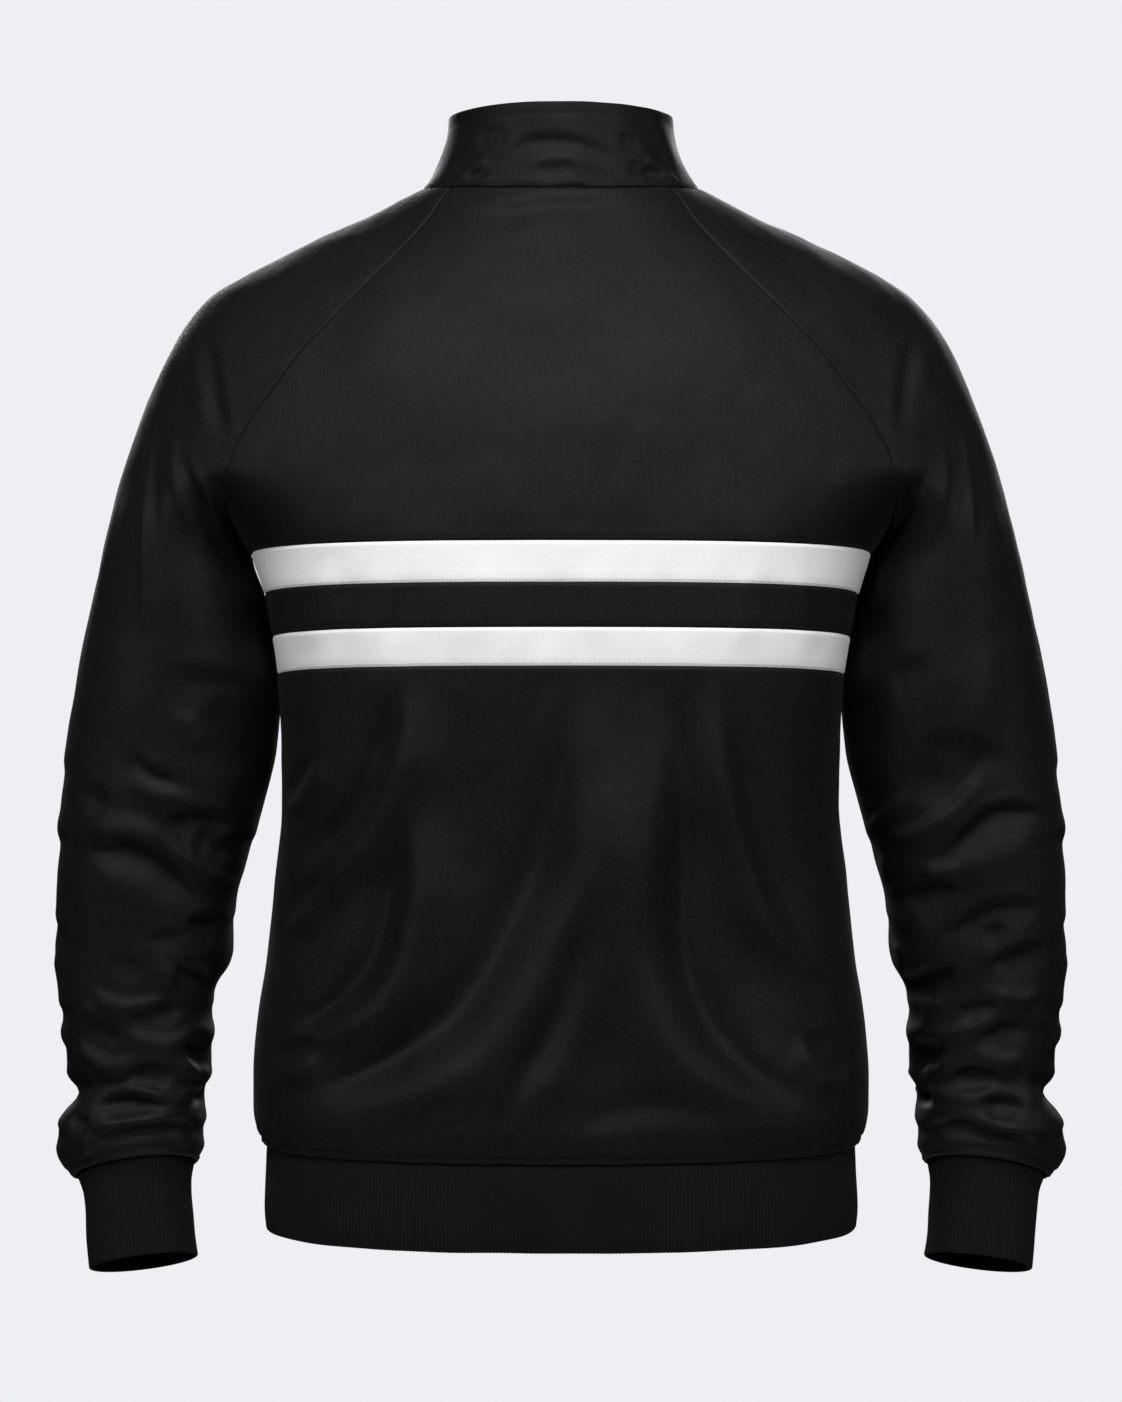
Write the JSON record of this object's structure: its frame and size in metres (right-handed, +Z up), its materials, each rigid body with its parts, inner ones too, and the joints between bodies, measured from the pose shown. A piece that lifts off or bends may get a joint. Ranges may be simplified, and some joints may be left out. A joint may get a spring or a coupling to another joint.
{
  "type": "track jacket",
  "caption": "Black raglan track jacket with a stand collar, white bands across the back, ribbed hem and cuffs, and a full front zip, in its worn hollow form.",
  "frame": {"origin": "middle of the neck opening, level with the collar seam at the back, where the wearer's neck and shoulders carry the jacket", "axes": "+Z up the body, +Y towards the back, +X towards the wearer's left sleeve"},
  "size_m": [0.6976, 0.2828, 0.7908],
  "materials": {
    "black_tricot": "black polyester tricot with a slight cool sheen",
    "white_tricot": "white polyester tricot",
    "black_rib": "matt black rib knit",
    "black_tape": "woven black zip tape with black coil teeth",
    "dark_metal": "black plated zinc"
  },
  "bodies": {
    "jacket": {"back_upper": "black_tricot", "back_band_upper": "white_tricot", "back_strip": "black_tricot", "back_band_lower": "white_tricot", "back_lower": "black_tricot", "front_left": "black_tricot", "front_right": "black_tricot", "sleeve_left": "black_tricot", "sleeve_right": "black_tricot", "collar": "black_tricot", "hem_rib": "black_rib", "cuff_left": "black_rib", "cuff_right": "black_rib", "zip_left": "black_tape", "zip_right": "black_tape", "zip_slider": "dark_metal"},
    "pull": {"zip_pull": "dark_metal"}
  },
  "joints": [
    {"name": "pull_swing", "type": "hinge", "parent": "jacket", "child": "pull", "pos_m": [0, -0.08331, 0.02], "axis": [-1, 0, 0], "range_deg": [0, 150]}
  ]
}
